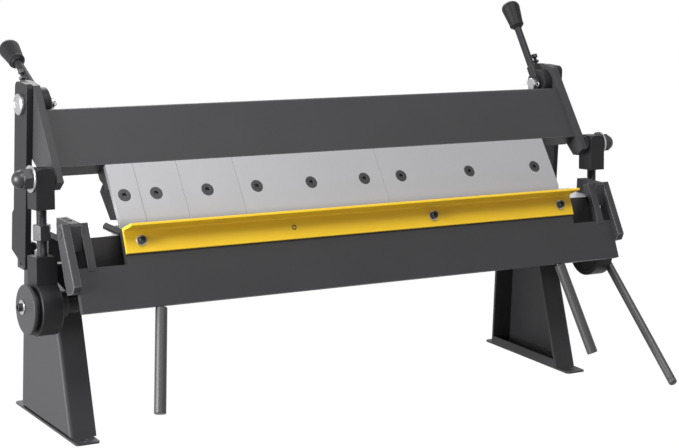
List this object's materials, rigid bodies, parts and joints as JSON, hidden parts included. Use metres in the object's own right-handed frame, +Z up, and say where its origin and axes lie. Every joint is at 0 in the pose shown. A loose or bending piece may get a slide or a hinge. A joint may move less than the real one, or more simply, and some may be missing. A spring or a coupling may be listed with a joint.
{
  "type": "box and pan brake",
  "caption": "Bench box and pan brake with a row of removable clamping fingers, a folding apron, link rods on an eccentric clamp shaft and side stands.",
  "frame": {"origin": "on the bench, midway between the four foot bolt holes", "axes": "+X along the fingers to the right as the user stands in front, +Y to the back, +Z up"},
  "size_m": [1.3919, 0.5912, 0.7817],
  "materials": {
    "grey_paint": "fine hammered grey paint",
    "dark_steel": "satin dark grey",
    "black_steel": "blackened steel",
    "bright_steel": "bright zinc plate",
    "finger_steel": "ground steel",
    "blade_steel": "ground steel",
    "yellow_paint": "satin yellow paint",
    "black_plastic": "moulded black",
    "speckled_paint": "speckled black paint"
  },
  "bodies": {
    "frame": {"left_foot": "grey_paint", "right_foot": "grey_paint", "left_stand": "grey_paint", "right_stand": "grey_paint", "left_side_plate": "grey_paint", "right_side_plate": "grey_paint", "left_column": "grey_paint", "right_column": "grey_paint", "column_spacers": "grey_paint", "bed": "black_steel", "bed_blade": "blade_steel", "bed_brackets": "grey_paint", "left_shaft_bearing": "dark_steel", "right_shaft_bearing": "dark_steel", "left_hinge_block": "grey_paint", "right_hinge_block": "grey_paint", "left_pivot_pin": "bright_steel", "right_pivot_pin": "bright_steel", "cotter_pins": "bright_steel", "frame_screws": "black_steel"},
    "clamping_beam": {"beam_plate": "grey_paint", "left_end_plate": "grey_paint", "right_end_plate": "grey_paint", "finger_rail": "bright_steel", "finger_1": "finger_steel", "finger_2": "finger_steel", "finger_3": "finger_steel", "finger_4": "finger_steel", "finger_5": "finger_steel", "finger_clamps": "dark_steel", "finger_screws": "black_steel", "left_link_stud": "bright_steel", "right_link_stud": "bright_steel"},
    "left_link": {"left_link_head": "dark_steel", "left_link_rod": "black_steel", "left_link_ring": "dark_steel"},
    "right_link": {"right_link_head": "dark_steel", "right_link_rod": "black_steel", "right_link_ring": "dark_steel"},
    "clamp_shaft": {"clamp_shaft": "bright_steel", "left_eccentric": "dark_steel", "right_eccentric": "dark_steel", "left_cap": "bright_steel", "shaft_end_screws": "bright_steel", "handle_hub": "dark_steel", "clamp_handle": "speckled_paint"},
    "apron": {"apron_plate": "grey_paint", "apron_angle_bar": "yellow_paint", "bar_screws": "bright_steel", "left_hinge_lugs": "grey_paint", "right_hinge_lugs": "grey_paint", "hinge_pins": "bright_steel", "left_apron_handle": "speckled_paint", "right_apron_handle": "speckled_paint"},
    "left_lever": {"left_lever_hub": "dark_steel", "left_lever_rod": "bright_steel", "left_lever_knob": "black_plastic"},
    "right_lever": {"right_lever_hub": "dark_steel", "right_lever_rod": "bright_steel", "right_lever_knob": "black_plastic"}
  },
  "joints": [
    {"name": "beam_lift", "type": "hinge", "parent": "frame", "child": "clamping_beam", "pos_m": [0, 0.0525, 0.606], "axis": [-1, 0, 0], "range_deg": [0, 1.5]},
    {"name": "left_link_swing", "type": "hinge", "parent": "clamping_beam", "child": "left_link", "pos_m": [-0.64, -0.076, 0.488], "axis": [-1, 0, 0], "range_deg": [-2.4, 0]},
    {"name": "right_link_swing", "type": "hinge", "parent": "clamping_beam", "child": "right_link", "pos_m": [0.64, -0.076, 0.488], "axis": [-1, 0, 0], "range_deg": [-2.4, 0]},
    {"name": "clamp_turn", "type": "hinge", "parent": "frame", "child": "clamp_shaft", "pos_m": [0, -0.083, 0.254], "axis": [-1, 0, 0], "range_deg": [0, 16.2]},
    {"name": "apron_fold", "type": "hinge", "parent": "frame", "child": "apron", "pos_m": [0, -0.1437, 0.398], "axis": [-1, 0, 0], "range_deg": [-24, 81]},
    {"name": "left_lever_swing", "type": "hinge", "parent": "frame", "child": "left_lever", "pos_m": [-0.585, 0.0525, 0.606], "axis": [-1, 0, 0], "range_deg": [-44, 15]},
    {"name": "right_lever_swing", "type": "hinge", "parent": "frame", "child": "right_lever", "pos_m": [0.585, 0.0525, 0.606], "axis": [-1, 0, 0], "range_deg": [-15, 44]}
  ],
  "couplings": [
    {"joint": "left_link_swing", "follows": "beam_lift", "ratio": -1.451},
    {"joint": "right_link_swing", "follows": "beam_lift", "ratio": -1.451},
    {"joint": "clamp_turn", "follows": "beam_lift", "ratio": 10.429}
  ]
}
